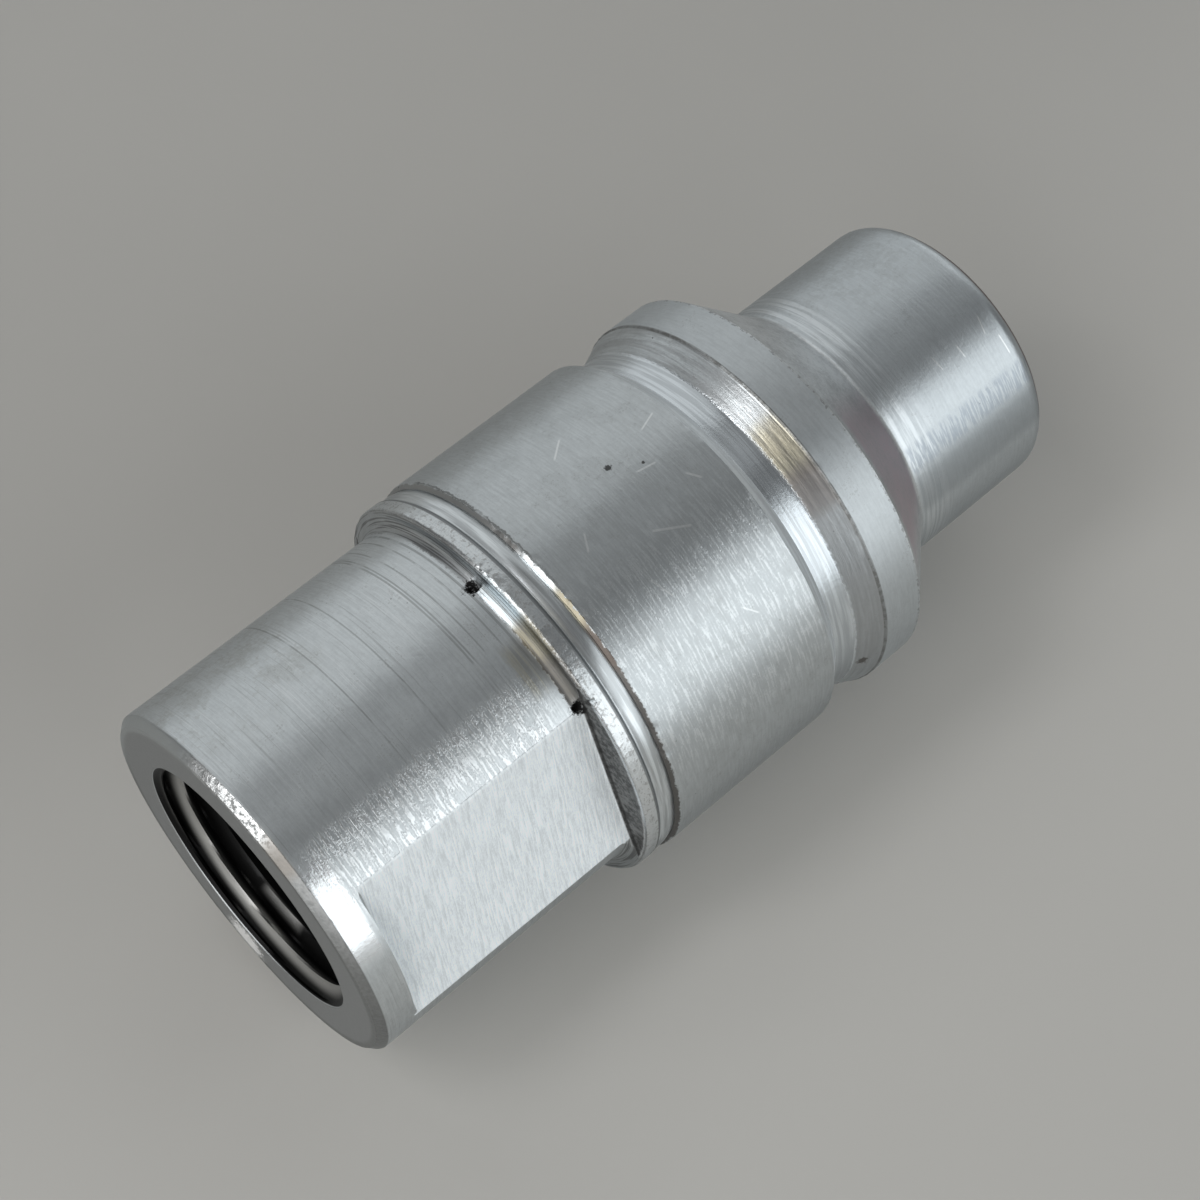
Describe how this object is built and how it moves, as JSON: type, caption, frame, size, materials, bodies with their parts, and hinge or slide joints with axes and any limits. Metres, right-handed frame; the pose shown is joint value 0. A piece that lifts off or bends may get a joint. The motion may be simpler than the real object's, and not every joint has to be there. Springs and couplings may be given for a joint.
{
  "type": "hydraulic coupler male tip",
  "caption": "Male half of a push-to-connect hydraulic coupler: female pipe port, wrench flats, locking groove, cone and a nose with a spring-closed poppet valve.",
  "frame": {"origin": "centre of the port face, where the tip stands on its port end", "axes": "+Z along the turned axis, from the port to the nose; +X is the outward normal of one wrench flat"},
  "size_m": [0.0338, 0.0338, 0.072],
  "materials": {
    "plated_steel": "zinc plated, turned, handled and scratched",
    "valve_steel": "turned, bright",
    "spring_steel": "drawn wire, dull",
    "seal_rubber": "moulded nitrile, matte",
    "backup_plastic": "skived fluoroplastic, matte"
  },
  "bodies": {
    "coupler_body": {"tip_body": "plated_steel", "rear_adapter": "plated_steel", "joint_seal": "seal_rubber", "backup_ring": "backup_plastic", "valve_guide": "valve_steel", "retaining_ring": "spring_steel", "valve_spring": "spring_steel"},
    "valve": {"poppet": "valve_steel", "poppet_seal": "seal_rubber"}
  },
  "joints": [
    {"name": "poppet_slide", "type": "slide", "parent": "coupler_body", "child": "valve", "axis": [0, 0, -1], "range_m": [0, 0.005], "stiffness_N_per_m": 3800, "springref_m": -0.006, "deforming": ["valve_spring"]}
  ]
}
